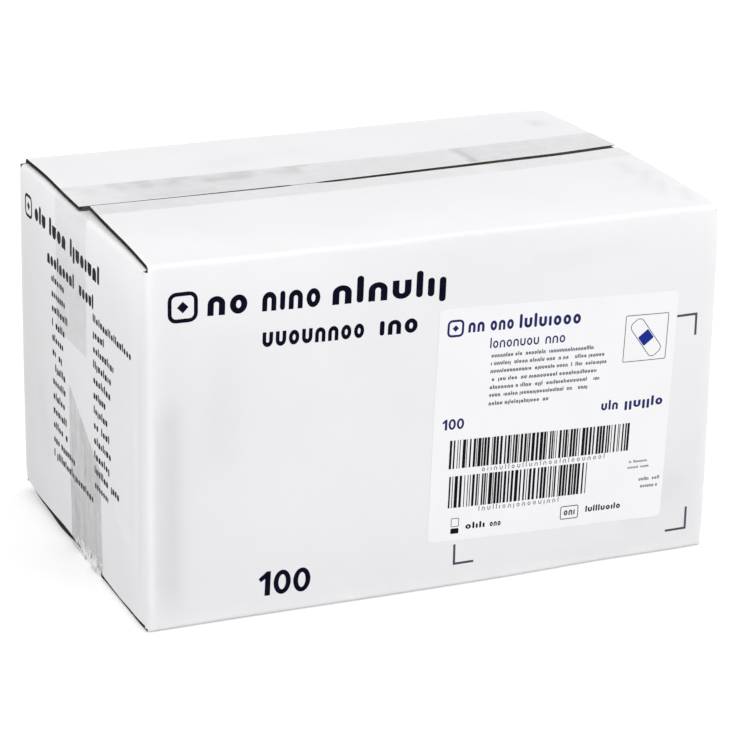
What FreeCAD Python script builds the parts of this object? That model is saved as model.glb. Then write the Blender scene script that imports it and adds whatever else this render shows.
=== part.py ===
import FreeCAD, Part
import math
import os

# A sealed shipping carton of white corrugated board, with clear tape and a paper label.
# All sizes are in millimetres. X runs along the carton, from its left end to its right end,
# Y runs from the printed front to the back, and Z is up. The origin is on the ground, below
# the middle of the carton, whose underside stands on its bottom tape.

# Carton, outside
carton_length = 235.0
carton_width = 155.0
carton_height = 143.0

# Board: two paper faces over one row of flutes, folded with a small inner radius
board_thick = 1.6
face_thick = 0.22
fold_inner_radius = 0.3
flute_open_depth = 1.8

# Inner flaps, which fold in first from the two ends
inner_flap_length = 77.0
inner_flap_side_gap = 0.8
ply_gap = 0.3
slot_floor_gap = 0.4
slot_corner_length = 8.0

# Top outer flaps: where they meet, and how far their cut ends stand in from the end walls
top_seam_from_front_left = 80.9
top_seam_from_front_right = 85.2
top_seam_gap_left = 0.4
top_seam_gap_right = 2.6
top_front_end_in_at_fold = 1.0
top_front_end_in_at_seam = 5.8
top_rear_end_in_at_fold = 2.8
top_rear_end_in_at_seam = 1.6
top_far_end_in = 0.9

# Bottom outer flaps
bottom_seam_from_front_left = 77.6
bottom_seam_from_front_right = 76.8
bottom_seam_gap_left = 0.9
bottom_seam_gap_right = 0.6
bottom_front_end_in = 0.4
bottom_rear_end_in = 1.7

# Glued joint of the blank, in the rear right corner
joint_tab_width = 34.0
joint_tab_bevel = 12.0
joint_edge_in = 0.9

# Clear tape
tape_width = 38.0
tape_thick = 0.08
top_tape_left_drop = 56.6
top_tape_left_inner_end = 206.0
top_tape_right_drop = 54.0
top_tape_right_inner_end = 67.5
top_tape_left_off_seam = 6.4
top_tape_right_off_seam = 6.0
tape_step_length = 2.0
bottom_tape_left_rise_rear = 68.0
bottom_tape_left_rise_front = 45.0
bottom_tape_right_rise = 50.0
bottom_tape_off_seam = -5.2

# Paper label on the front
label_width = 102.0
label_height = 94.0
label_thick = 0.12
label_corner_radius = 2.0
label_from_right_end = 18.5
label_from_base = 18.0
label_tilt = 2.1

# Sizes worked out from those above
fold_outer_radius = fold_inner_radius + board_thick
x_left = -carton_length / 2
x_right = carton_length / 2
y_front = -carton_width / 2
y_back = carton_width / 2
inner_flap_drop = board_thick + ply_gap
wall_end_drop = inner_flap_drop + fold_outer_radius
inner_flap_side_in = board_thick + inner_flap_side_gap
flute_height = board_thick - 2 * face_thick


def vec(x, y, z):
    return FreeCAD.Vector(x, y, z)


def box(low, high):
    return Part.makeBox(high[0] - low[0], high[1] - low[1], high[2] - low[2], vec(*low))


def prism(points, run):
    return Part.Face(Part.makePolygon(points + [points[0]])).extrude(run)


def plan_prism(corners):
    """A prism that stands over a polygon given in plan, from below the carton to above it."""
    low = -carton_height
    points = [vec(x, y, low) for x, y in corners]
    return prism(points, vec(0, 0, 3 * carton_height))


def fold_profile(place, reach, leg):
    """A wall that folds over into a flap. place turns a distance in from the wall's outer
    face and a depth below the flap's outer face into a point."""
    ro = fold_outer_radius
    ri = fold_inner_radius
    t = board_thick
    mid = math.sqrt(0.5)
    outer_mid = place(ro - ro * mid, ro - ro * mid)
    inner_mid = place(ro - ri * mid, ro - ri * mid)
    edges = [
        Part.makeLine(place(0, leg), place(0, ro)),
        Part.Arc(place(0, ro), outer_mid, place(ro, 0)).toShape(),
        Part.makeLine(place(ro, 0), place(reach, 0)),
        Part.makeLine(place(reach, 0), place(reach, t)),
        Part.makeLine(place(reach, t), place(ro, t)),
        Part.Arc(place(ro, t), inner_mid, place(t, ro)).toShape(),
        Part.makeLine(place(t, ro), place(t, leg)),
        Part.makeLine(place(t, leg), place(0, leg)),
    ]
    return Part.Face(Part.Wire(edges))


def rounded_plan(inset, radius, low, high):
    """The carton's plan, set in from its outer faces, with round upright edges."""
    block = box((x_left + inset, y_front + inset, low), (x_right - inset, y_back - inset, high))
    upright = [edge for edge in block.Edges if abs(edge.tangentAt(edge.FirstParameter).z) > 0.5]
    return block.makeFillet(radius, upright)


def wall_ring(low, high):
    """The four walls, with the glued tab inside the rear right corner."""
    ro = fold_outer_radius
    t = board_thick
    ring = rounded_plan(0, ro, low, high).cut(rounded_plan(t, fold_inner_radius, low, high))
    corner = box((x_right - ro, y_back - t - ro, low), (x_right + 1, y_back + 1, high))
    ring = ring.cut(corner)
    back_edge = box((x_right - ro, y_back - t, low), (x_right - joint_edge_in, y_back, high))
    centre = vec(x_right - ro, y_back - t - ro, low)
    bend = Part.makeCylinder(ro, high - low, centre, vec(0, 0, 1), 90)
    bend = bend.cut(Part.makeCylinder(fold_inner_radius, high - low, centre))
    return ring.fuse([back_edge, bend])


def joint_tab():
    """The tab that the right end wall carries, glued to the back wall's inner face."""
    y_inside = y_back - 2 * board_thick
    x_start = x_right - fold_outer_radius
    x_end = x_right - joint_tab_width
    low = wall_end_drop
    high = carton_height - wall_end_drop
    points = [
        vec(x_start, y_inside, low),
        vec(x_end, y_inside, low + joint_tab_bevel),
        vec(x_end, y_inside, high - joint_tab_bevel),
        vec(x_start, y_inside, high),
    ]
    return prism(points, vec(0, board_thick, 0))


def flute_groove(start, end, inward, upper):
    """The flute that a cut along the board lays open, from start to end along the cut edge.
    Its floor is round, where the fluted paper turns back."""
    run = end - start
    radius = flute_height / 2
    flat = flute_open_depth - radius
    across = vec(0, 0, 1)
    side = across.cross(run).normalize()
    if side.dot(inward) < 0:
        side = side * -1
    middle = start + across * upper
    corner = middle - side - across * radius
    points = [
        corner,
        corner + side * (flat + 1),
        corner + side * (flat + 1) + across * flute_height,
        corner + across * flute_height,
    ]
    mouth = prism(points, run)
    floor = Part.makeCylinder(radius, run.Length, middle + side * flat, run)
    return mouth.fuse(floor)


def inner_flap(sign):
    """The flap of one end wall. sign is -1 at the left end and 1 at the right end."""
    def place(inward, depth):
        return vec(sign * (carton_length / 2 - inward), low_y, top - depth)

    low_y = y_front + inner_flap_side_in
    top = carton_height - inner_flap_drop
    profile = fold_profile(place, inner_flap_length, fold_outer_radius + 1)
    return profile.extrude(vec(0, carton_width - 2 * inner_flap_side_in, 0))


def outer_flap(sign, plan):
    """The flap of the front wall, with sign -1, or the back wall, with sign 1, cut to its
    corners in plan, which start at the left of the fold and go round by the seam."""
    def place(inward, depth):
        return vec(x_left, sign * (carton_width / 2 - inward), carton_height - depth)

    profile = fold_profile(place, carton_width * 0.75, wall_end_drop + 1)
    flap = profile.extrude(vec(carton_length, 0, 0))
    flap = flap.common(plan_prism(plan))
    flap = flap.common(rounded_plan(0, fold_outer_radius, 0, carton_height))
    middle = carton_height - board_thick / 2
    near = fold_outer_radius / (carton_width / 2)
    for fold_point, seam_point, inward in ((plan[0], plan[1], 1), (plan[3], plan[2], -1)):
        start = vec(fold_point[0], fold_point[1], 0)
        end = vec(seam_point[0], seam_point[1], 0)
        start = start + (end - start) * near
        end = end + (end - start) * 0.02
        flap = flap.cut(flute_groove(start, end, vec(inward, 0, 0), middle))
    return flap


def corner_posts():
    """The short stretches of wall beside the inner flaps, up to the floors of the slots."""
    low = carton_height - wall_end_drop
    high = carton_height - inner_flap_drop - slot_floor_gap
    ring = wall_ring(low, high)
    reach = slot_corner_length
    middle_x = box((x_left + reach, y_front - 1, low), (x_right - reach, y_back + 1, high))
    side = inner_flap_side_in
    middle_y = box((x_left - 1, y_front + side, low), (x_right + 1, y_back - side, high))
    return ring.cut(middle_x.fuse(middle_y))


def closure(front_plan, rear_plan):
    """The four flaps over the top of the walls."""
    pieces = [outer_flap(-1, front_plan), outer_flap(1, rear_plan)]
    pieces += [inner_flap(-1), inner_flap(1)]
    return corner_posts().fuse(pieces)


def top_plans():
    front_left = y_front + top_seam_from_front_left
    front_right = y_front + top_seam_from_front_right
    front = [
        (x_left + top_front_end_in_at_fold, y_front),
        (x_left + top_front_end_in_at_seam, front_left),
        (x_right - top_far_end_in, front_right),
        (x_right - top_far_end_in, y_front),
    ]
    rear = [
        (x_left + top_rear_end_in_at_fold, y_back),
        (x_left + top_rear_end_in_at_seam, front_left + top_seam_gap_left),
        (x_right - top_far_end_in, front_right + top_seam_gap_right),
        (x_right - top_far_end_in, y_back),
    ]
    return front, rear


def bottom_plans():
    front_left = y_front + bottom_seam_from_front_left
    front_right = y_front + bottom_seam_from_front_right
    front = [
        (x_left + bottom_front_end_in, y_front),
        (x_left + bottom_front_end_in, front_left),
        (x_right - bottom_front_end_in, front_right),
        (x_right - bottom_front_end_in, y_front),
    ]
    rear = [
        (x_left + bottom_rear_end_in, y_back),
        (x_left + bottom_rear_end_in, front_left + bottom_seam_gap_left),
        (x_right - bottom_rear_end_in, front_right + bottom_seam_gap_right),
        (x_right - bottom_rear_end_in, y_back),
    ]
    return front, rear


def upside_down(shape):
    return shape.mirror(vec(0, 0, carton_height / 2), vec(0, 0, 1))


def make_carton():
    walls = wall_ring(wall_end_drop, carton_height - wall_end_drop)
    top = closure(*top_plans())
    bottom = upside_down(closure(*bottom_plans()))
    carton = walls.fuse([joint_tab(), top, bottom]).removeSplitter()
    start = vec(x_right - joint_edge_in, y_back - board_thick / 2, wall_end_drop)
    end = vec(start.x, start.y, carton_height - wall_end_drop)
    return carton.cut(joint_groove(start, end))


def joint_groove(start, end):
    """The open flute along the back wall's cut edge at the glued joint."""
    radius = flute_height / 2
    flat = flute_open_depth - radius
    mouth = box(
        (start.x - flat, start.y - radius, start.z),
        (start.x + 1, start.y + radius, end.z),
    )
    floor = Part.makeCylinder(radius, end.z - start.z, vec(start.x - flat, start.y, start.z))
    return mouth.fuse(floor)


def tape_profile(place, run, drop, edge_in, lift=0.0, lift_until=0.0):
    """A taut strip of tape over the end of a closure, in its own plane. It lies on the outer
    flap from run to the flap's cut end, spans to the fold of the inner flap, and follows the
    end wall down to drop. lift raises it over another strip as far in as lift_until."""
    centre_in = fold_outer_radius
    centre_down = wall_end_drop
    away = math.hypot(centre_in - edge_in, centre_down)
    lean = math.asin(fold_outer_radius / away) - math.atan2(centre_in - edge_in, centre_down)
    span = math.sqrt(away**2 - fold_outer_radius**2)
    touch_in = edge_in - span * math.sin(lean)
    touch_down = span * math.cos(lean)

    def side(thick):
        radius = fold_outer_radius + thick
        out_in = -thick * math.cos(lean)
        out_down = -thick * math.sin(lean)
        half = (math.pi / 2 - lean) / 2 + lean
        bend_mid = (edge_in - thick * math.sin(half), -thick * math.cos(half))
        turn = lean / 2
        wall_mid = (centre_in - radius * math.cos(turn), centre_down - radius * math.sin(turn))
        span_start = (edge_in + out_in, out_down)
        span_end = (touch_in + out_in, touch_down + out_down)
        return span_start, span_end, bend_mid, wall_mid

    def flat_run(thick):
        points = [(run, -thick - lift)]
        if lift > 0:
            points += [(lift_until, -thick - lift), (lift_until - tape_step_length, -thick)]
        return points + [(edge_in, -thick)]

    def lines(points):
        pairs = zip(points[:-1], points[1:])
        return [Part.makeLine(place(*a), place(*b)) for a, b in pairs]

    def arc(a, b, c):
        return Part.Arc(place(*a), place(*b), place(*c)).toShape()

    start, end, bend_mid, wall_mid = side(tape_thick)
    edges = lines(flat_run(tape_thick))
    edges.append(arc((edge_in, -tape_thick), bend_mid, start))
    edges += lines([start, end])
    edges.append(arc(end, wall_mid, (-tape_thick, centre_down)))
    edges += lines([(-tape_thick, centre_down), (-tape_thick, drop), (0, drop), (0, centre_down)])
    start, end, bend_mid, wall_mid = side(0.0)
    edges.append(arc((0, centre_down), wall_mid, end))
    edges += lines([end, (edge_in, 0)])
    edges += lines(list(reversed(flat_run(0.0))))
    edges += lines([flat_run(0.0)[0], flat_run(tape_thick)[0]])
    return Part.Face(Part.Wire(edges))


def seam_y(from_front_left, from_front_right, x):
    share = (x - x_left) / carton_length
    return y_front + from_front_left + (from_front_right - from_front_left) * share


def strip_plan(from_front_left, from_front_right, off_seam):
    """The plan of a strip of tape that follows a seam at a steady distance."""
    corners = []
    for x, side in ((x_left - 5, -1), (x_right + 5, -1), (x_right + 5, 1), (x_left - 5, 1)):
        middle = seam_y(from_front_left, from_front_right, x) + off_seam
        corners.append((x, middle + side * tape_width / 2))
    return plan_prism(corners)


def end_placer(sign, upward):
    """Where a point of a tape profile lies, at the left end, with sign -1, or the right end."""
    def place(inward, depth):
        z = carton_height - depth if upward else depth
        return vec(sign * (carton_length / 2 - inward), y_front - 5, z)

    return place


def wide_strip(profile):
    return profile.extrude(vec(0, carton_width + 10, 0))


def make_top_tape_left():
    edge_in = min(top_rear_end_in_at_seam, top_front_end_in_at_seam)
    place = end_placer(-1, True)
    profile = tape_profile(place, top_tape_left_inner_end, top_tape_left_drop, edge_in)
    plan = strip_plan(top_seam_from_front_left, top_seam_from_front_right, top_tape_left_off_seam)
    return wide_strip(profile).common(plan)


def make_top_tape_right():
    place = end_placer(1, True)
    overlap_end = carton_length - top_tape_left_inner_end
    profile = tape_profile(
        place,
        top_tape_right_inner_end,
        top_tape_right_drop,
        top_far_end_in,
        tape_thick,
        overlap_end,
    )
    plan = strip_plan(top_seam_from_front_left, top_seam_from_front_right, top_tape_right_off_seam)
    return wide_strip(profile).common(plan)


def make_bottom_tape():
    """One strip along the bottom seam and up both ends, torn off askew at the left end."""
    edge_in = min(bottom_front_end_in, bottom_rear_end_in)
    middle = carton_length / 2
    highest = max(bottom_tape_left_rise_rear, bottom_tape_left_rise_front)
    left = tape_profile(end_placer(-1, False), middle, highest, edge_in)
    right = tape_profile(end_placer(1, False), middle, bottom_tape_right_rise, edge_in)
    strip = wide_strip(left).fuse(wide_strip(right)).removeSplitter()
    seam = (bottom_seam_from_front_left, bottom_seam_from_front_right)
    strip = strip.common(strip_plan(*seam, bottom_tape_off_seam))
    centre = seam_y(*seam, x_left) + bottom_tape_off_seam
    near_y = centre - tape_width / 2
    far_y = centre + tape_width / 2
    slope = (bottom_tape_left_rise_rear - bottom_tape_left_rise_front) / tape_width
    over = 4.0
    torn_off = prism(
        [
            vec(x_left - 1, near_y - over, bottom_tape_left_rise_front - slope * over),
            vec(x_left - 1, far_y + over, bottom_tape_left_rise_rear + slope * over),
            vec(x_left - 1, far_y + over, highest + abs(slope) * over + 1),
            vec(x_left - 1, near_y - over, highest + abs(slope) * over + 1),
        ],
        vec(2, 0, 0),
    )
    return strip.cut(torn_off)


def make_label():
    """The paper label on the front, laid a little askew."""
    right = x_right - label_from_right_end
    low = (right - label_width, y_front - label_thick, label_from_base)
    high = (right, y_front, label_from_base + label_height)
    sheet = box(low, high)
    square_edges = [e for e in sheet.Edges if abs(e.tangentAt(e.FirstParameter).y) > 0.5]
    sheet = sheet.makeFillet(label_corner_radius, square_edges)
    centre = vec(right - label_width / 2, y_front, label_from_base + label_height / 2)
    sheet.rotate(centre, vec(0, 1, 0), label_tilt)
    return sheet


def main():
    os.makedirs("parts", exist_ok=True)
    nodes = {
        "carton": make_carton(),
        "top_tape_left": make_top_tape_left(),
        "top_tape_right": make_top_tape_right(),
        "bottom_tape": make_bottom_tape(),
        "label": make_label(),
    }
    for name, shape in nodes.items():
        shape = shape.Solids[0] if len(shape.Solids) == 1 else shape
        shape.translate(vec(0, 0, tape_thick))
        size = shape.BoundBox
        print(name, len(shape.Solids), shape.isValid(), round(shape.Volume, 2), size)
        shape.exportStep(os.path.join("parts", name + ".step"))


main()
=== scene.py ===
import math

import bmesh
import bpy
from mathutils import Matrix, Vector, noise


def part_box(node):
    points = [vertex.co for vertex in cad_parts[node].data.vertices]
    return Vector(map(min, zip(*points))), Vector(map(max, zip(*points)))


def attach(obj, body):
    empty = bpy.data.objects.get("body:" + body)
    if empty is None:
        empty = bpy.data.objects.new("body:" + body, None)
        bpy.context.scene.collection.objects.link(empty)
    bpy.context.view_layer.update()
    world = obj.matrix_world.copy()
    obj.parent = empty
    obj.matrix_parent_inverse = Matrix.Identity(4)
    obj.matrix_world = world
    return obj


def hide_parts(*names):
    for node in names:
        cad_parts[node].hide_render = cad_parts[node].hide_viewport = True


bl_info = {
    "name": "Sealed Carton",
    "version": (1, 0, 0),
    "blender": (4, 5, 0),
    "location": "View3D > Sidebar > Carton",
    "description": "Dresses a sealed shipping carton with board, tape, a label and print",
    "category": "Object",
}

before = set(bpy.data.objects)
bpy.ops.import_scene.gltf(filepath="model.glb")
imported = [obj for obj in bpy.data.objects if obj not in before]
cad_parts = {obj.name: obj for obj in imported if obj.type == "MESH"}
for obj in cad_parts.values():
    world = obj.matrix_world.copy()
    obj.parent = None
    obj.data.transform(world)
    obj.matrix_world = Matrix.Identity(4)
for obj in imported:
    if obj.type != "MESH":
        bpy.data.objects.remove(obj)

# Lengths below are in millimetres unless a name says otherwise, and Blender gets metres.
MM = 0.001

# The carton's outer box, from the frame
CARTON_LOW, CARTON_HIGH = (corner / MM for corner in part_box("carton"))
LENGTH, WIDTH, HEIGHT = CARTON_HIGH - CARTON_LOW
LABEL_LOW, LABEL_HIGH = (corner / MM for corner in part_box("label"))
TAPE_THICK = (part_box("top_tape_left")[1].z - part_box("carton")[1].z) / MM
LABEL_THICK = LABEL_HIGH.y - LABEL_LOW.y

# Board, as the carton is folded from it
BOARD = 1.6
FOLD_RADIUS = 1.9
PLY_GAP = 0.3

# The label before it was laid askew
LABEL_WIDTH = 102.0
LABEL_HEIGHT = 94.0
LABEL_TILT = math.radians(2.1)

# Copies of the solids
MERGE_DISTANCE = 0.002 * MM
FLAT_ANGLE = math.radians(0.2)
SHARP_ANGLE = math.radians(32)

# Steps of the planes that cut every piece, close together beside the folds
EDGE_STEP = 1.6
EDGE_ZONE = 14.0
PANEL_STEP = 3.0
SKIN_DEPTH = 2.2

# How far into the carton a panel's bow and dents reach, and its painted light and shade, how high
# above the base nothing lifts fully, and how far from a fold the paper is crushed and gets a
# painted highlight
PANEL_REACH = 14.0
PAINTED_LIGHT_REACH = 3.0
BASE_REACH = 10.0
FOLD_CRUSH_AND_HIGHLIGHT_REACH = 7.0

# Sizes of the waves in which the carton drifts from true and its panels ripple, and the seed
# that makes them the same in each run
NOISE_SEED = 590
DRIFT_SIZE = 70.0
RIPPLE_SIZE = 22.0

# Dents, creases and bumps have run out this many half sizes from their middle, and a crease
# fades over this share of its length at both ends
FAR = 3.0
CREASE_FADE = 0.18

# Creases, by panel: start, end, half width and depth. A place on a long side or the top is
# measured from the left end and from the base or the front, and on an end from the front
# and from the base. A negative depth is a ridge.
CREASES = {
    "front": [
        ((4.4, 3), (4.2, 92), 1.7, 0.3),
        ((9.3, 2), (9.0, 96), 4.0, 0.4),
        ((27, 58), (31, 120), 8.0, 0.14),
        ((196, 12), (226, 34), 6.0, 0.18),
        ((150, 126), (205, 131), 5.0, 0.12),
    ],
    "left": [
        ((7.6, 8), (7.0, 120), 2.4, 0.25),
        ((16.5, 26), (17.2, 86), 2.4, 0.16),
        ((38.2, 35.7), (16.1, 28.7), 2.0, -0.2),
        ((43.6, 52), (43.6, 98), 3.0, 0.1),
        ((118, 20), (132, 60), 5.0, 0.14),
    ],
    "back": [
        ((60, 20), (66, 96), 5.0, 0.16),
        ((188, 40), (176, 118), 6.0, 0.14),
    ],
    "right": [
        ((146, 18), (146.5, 118), 3.0, 0.2),
        ((40, 30), (62, 46), 4.0, 0.16),
    ],
    "top": [
        ((224.3, 67.2), (220.7, 45.7), 2.4, 0.28),
        ((230.4, 53.5), (216.5, 28.7), 2.2, 0.3),
        ((228.6, 39.1), (218.2, 17.1), 2.2, 0.28),
        ((231.3, 27.0), (225.9, 8.0), 2.2, 0.32),
        ((222.0, 141.0), (219.0, 128.0), 3.0, 0.5),
        ((60, 118), (120, 132), 9.0, 0.12),
    ],
}

# Dents, by panel: middle, half sizes along and across, and depth
DENTS = {
    "front": [
        ((36, 92), (4.5, 4.5), 0.32),
        ((60, 61), (4.2, 4.0), 0.28),
        ((75, 30), (4.0, 4.0), 0.3),
        ((75, 11), (3.6, 3.6), 0.3),
        ((187, 1), (24, 4.5), 0.8),
        ((66, 139), (9, 3.0), 0.35),
        ((121, 140), (14, 2.6), 0.3),
    ],
    "left": [
        ((100, 128), (12, 8), 0.2),
        ((22, 6), (7, 5), 0.35),
    ],
    "back": [((120, 70), (16, 12), 0.25), ((30, 138), (10, 4), 0.4)],
    "right": [((80, 84), (10, 12), 0.25), ((20, 138), (6, 4), 0.4)],
    "top": [
        ((18.4, 15.0), (3.2, 3.2), 0.25),
        ((229, 140), (9, 9), 0.6),
        ((92, 1.5), (16, 3.5), 0.35),
        ((170, 1.5), (22, 3.0), 0.3),
    ],
}

# Bumped corners: which corner of the outer box, as shares of its sides, how far in it is
# pushed, and over what radius
BUMPED_CORNERS = [
    ((0, 0, 1), (0.1, 0.2, -0.1), 6.0),
    ((1, 0, 1), (-0.6, 0.5, -0.5), 8.0),
    ((1, 1, 1), (-0.5, -0.4, -0.6), 10.0),
    ((0, 1, 1), (0.1, -0.2, -0.1), 7.0),
    ((0, 0, 0), (0.2, 0.2, 0.0), 7.0),
    ((1, 0, 0), (-0.5, 0.4, 0.0), 8.0),
    ((0, 1, 0), (0.2, -0.3, 0.0), 7.0),
    ((1, 1, 0), (-0.5, -0.4, 0.0), 8.0),
]

# Height that a lift sets in from, and over which it does: above the ground, above the flap
# under the end panel, and where the edge on the ground lifts too
ABOVE_GROUND = (0.0, 2.5)
ABOVE_FLAP = (1.62, 0.26)
EDGE_TOO = (-2.5, 2.5)

# Places where the carton has given way: the middle, from the left end, the front and the
# base, then the reach each way, the move, and the heights that its lift sets in at. The foot
# of the left end sits down over its flap towards the front and stands off it towards the back.
NUDGES = [
    ((0, 31, 2.6), (10, 40, 3.4), (-0.5, 0, -1.6), ABOVE_GROUND),
    ((0, 4, 6), (22, 30, 40), (-0.4, -0.3, 0), ABOVE_GROUND),
    ((0, 103, 2.5), (9, 13, 6), (-0.1, 0, 0.7), ABOVE_FLAP),
    ((0, 125, 2.5), (9, 24, 6), (0, 0, 0.42), ABOVE_FLAP),
    ((2, 108, 0.4), (9, 15, 0.9), (-1.0, 0, 0), ABOVE_GROUND),
    ((0, 157, 0), (10, 13, 8), (0.2, 0, 1.9), EDGE_TOO),
    ((0, 150, 0), (26, 30, 14), (0, 0, 0.4), EDGE_TOO),
    ((0, 155, 75), (40, 40, 60), (-0.5, 0, 0), ABOVE_GROUND),
    ((118, 0, 4), (85, 24, 40), (0, -1.4, 0), ABOVE_GROUND),
    ((235, 80, 143), (22, 48, 12), (0.5, 0, 0.7), ABOVE_GROUND),
    ((45, 155, 143), (70, 20, 20), (0, 0, -0.4), ABOVE_GROUND),
    ((0, 127, 143), (40, 22, 10), (0, 0, 0.75), ABOVE_GROUND),
    ((0, 26, 143), (40, 24, 10), (0, 0, 0.6), ABOVE_GROUND),
]

# Middle of the top seam from the front, at the left end and at the right end
SEAM_LEFT = 81.1
SEAM_RIGHT = 86.5

# The flaps beside the seam move down to this depth below the top, and a move turns from one
# side's into the other's over this much on either side of the seam
SEAM_DEPTH = 6.0
SEAM_EDGE = 0.8

# How far the front edge has sunk and the back edge risen by the right end, and how far from
# the seam that reaches
SEAM_STEP = 0.12
SEAM_STEP_REACH = 14.0

# Where along the seam it gapes a little, is pulled together and gapes widely, how far it
# opens and closes, and how far from it that reaches
SEAM_LOOSENS = 46.0
SEAM_CLOSES = 86.0
SEAM_OPENS = 103.0
SEAM_OPENING = 0.26
SEAM_CLOSING = 0.72
SEAM_REACH = 8.0

# Where the right strip of the top tape starts on the left one, from the left end
LAP_START = 167.0

# Sizes of the bubbles and wrinkles under the tape
BUBBLE_SIZE = 9.0
WRINKLE_SIZE = 3.2

# Light and shade painted into the board's colour: how much lighter or darker it is made round a
# place, by panel: middle, half sizes, change
PAINTED_LIGHT_SPOTS = {
    "front": [
        ((118, 60), (300, 300), -0.025),
        ((118, 146), (260, 22), 0.06),
        ((20, 146), (60, 22), 0.025),
        ((10, 52), (7, 62), -0.05),
        ((20, 60), (22, 60), -0.03),
        ((0.8, 60), (2.4, 90), 0.05),
        ((125, 140), (55, 18), -0.055),
        ((130, 10), (120, 26), -0.02),
        ((225, 20), (40, 60), -0.04),
    ],
    "left": [
        ((78, 150), (200, 24), 0.19),
        ((4, 80), (16, 90), 0.05),
        ((155, 45), (46, 90), -0.10),
    ],
    "top": [((118, 5), (260, 30), 0.05)],
}
# Painted shade in the creases and painted light on the ridges, for each millimetre of depth
CREASE_PAINTED_SHADE = -0.22

# Print is set at this slant on the long side and on the end
FRONT_SLANT = math.radians(1.75)
END_SLANT = math.radians(2.0)

# Shapes in a row: their width as a share of their height, and the chances below which a
# place takes a stroke, a ring or an arch; any other takes a cup
SHAPE_WIDTH = 0.82
STROKE_CHANCE = 0.34
RING_CHANCE = 0.60
ARCH_CHANCE = 0.84

# Rows of plain shapes: where the row starts, its length, the height of its low shapes, and
# its seed
FRONT_ROWS = [
    (23.6, 122.3, 15.6, 7.3, 11),
    (44.8, 121.7, 22.6, 7.3, 12),
    (72.4, 120.9, 46.4, 7.3, 13),
    (44.9, 107.9, 40.2, 5.7, 14),
    (91.6, 106.6, 15.6, 5.7, 15),
]
LABEL_LARGE_ROWS = [
    (12.2, 83.9, 6.6, 4.0, 21),
    (21.4, 83.9, 9.6, 4.0, 22),
    (33.6, 83.9, 26.0, 4.0, 23),
    (71.6, 47.4, 7.4, 2.9, 26),
    (82.0, 47.4, 17.0, 2.9, 27),
]
LABEL_THIN_ROWS = [
    (21.8, 76.8, 20.4, 3.0, 24),
    (45.0, 76.8, 8.4, 3.0, 25),
]
LABEL_FOOT_ROWS = [
    (15.8, 4.2, 8.4, 1.9, 31),
    (26.2, 4.2, 4.6, 1.9, 32),
    (68.0, 5.4, 15.6, 1.9, 33),
]
LABEL_WIDE_ROWS = [
    (21.4, 27.3, 53.4, 1.5, 34),
    (21.0, 11.2, 34.6, 1.5, 35),
]
LABEL_SIDE_ROWS = [
    (86.0, 24.0, 8.0, 0.8, 36),
    (85.6, 21.6, 9.4, 0.8, 37),
    (91.0, 16.0, 9.2, 1.1, 38),
    (92.0, 13.0, 7.6, 1.1, 39),
]
LABEL_SMALL_START = 22.6
LABEL_SMALL_ROWS = [
    (73.0, 43.4), (69.9, 48.4), (66.8, 49.6), (63.5, 46.2), (60.3, 47.0), (57.2, 42.0),
    (53.8, 25.4),
]
LABEL_SMALL_HEIGHT = 1.25

# Rows on the left end, measured from the front and the base, and running towards the front.
# Each column of small ones has its start, its top and the lengths of its rows.
END_LARGE_ROWS = [
    (133.6, 123.4, 14.0, 5.2, 41),
    (114.8, 122.6, 20.6, 5.2, 42),
    (88.4, 121.6, 36.0, 5.2, 43),
    (117.8, 110.6, 34.0, 4.2, 44),
    (77.4, 109.2, 17.6, 4.2, 45),
]
END_SMALL_HEIGHT = 2.55
END_ROW_PITCH = 6.17
END_LEFT_COLUMN = (112.9, 104.1, (16, 17, 20, 16, 14, 12, 16, 16, 15, 17, 18, 27, 50))
END_RIGHT_COLUMN = (60.5, 103.7, (44, 13, 24, 21, 20, 14, 16, 18, 20, 18, 29, 16))

# Bar codes on the label: left end, foot, length, height, number of bars and seed
BAR_CODES = [
    (7.3, 29.5, 78.7, 11.5, 60, 7),
    (7.8, 13.5, 60.1, 12.9, 44, 9),
]

# Corner marks round the label: the corner, and the way that each arm runs from it
CORNER_MARKS = [
    ((227.0, 100.0), (-9.1, -9.2)),
    ((227.0, 8.8), (-9.5, 9.6)),
    ((123.9, 9.2), (8.8, 8.6)),
]
CORNER_MARK_STROKE = 0.95

# The tube sign on the label: its middle, the frame's side, the tube's width, length and turn,
# and the thickness of their lines
TUBE_MIDDLE = (88.8, 75.9)
TUBE_FRAME = 19.0
TUBE_SIZE = (6.4, 17.5)
TUBE_TURN = math.radians(-38)
TUBE_LINE = 0.28

# How far off true a face of the solid may lie and still be taken for it, and how near the
# rear right corner the glued tab shifts the fold
FACE_SLACK = 0.06
TAB_CORNER = 8.0

WHITE = (1.0, 1.0, 1.0)


class CartonLook(bpy.types.PropertyGroup):
    """Shape and colours of the board."""
    bow: bpy.props.FloatProperty(
        name="Bow", description="How far the middle of a side bulges",
        default=0.8 * MM, unit="LENGTH",
    )
    sag: bpy.props.FloatProperty(
        name="Sag", description="How far the middle of the top sinks",
        default=0.7 * MM, unit="LENGTH",
    )
    drift: bpy.props.FloatProperty(
        name="Drift", description="How far edges and panels wander from true",
        default=0.35 * MM, unit="LENGTH",
    )
    ripple: bpy.props.FloatProperty(
        name="Ripple", description="Small unevenness of the panels",
        default=0.06 * MM, unit="LENGTH",
    )
    flute_pitch: bpy.props.FloatProperty(
        name="Flute pitch", description="Spacing of the flutes that show through the face",
        default=3.4 * MM, unit="LENGTH",
    )
    white: bpy.props.FloatVectorProperty(
        name="White face", description="Colour of the white outer paper",
        default=(0.86, 0.86, 0.875), subtype="COLOR",
    )
    # The brown is far darker than the board's own, to paint the shade in the open flutes, cut edges
    # and gaps
    kraft: bpy.props.FloatVectorProperty(
        name="Brown board", description="Colour of cut edges and the inside",
        default=(0.075, 0.068, 0.052), subtype="COLOR",
    )


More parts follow.
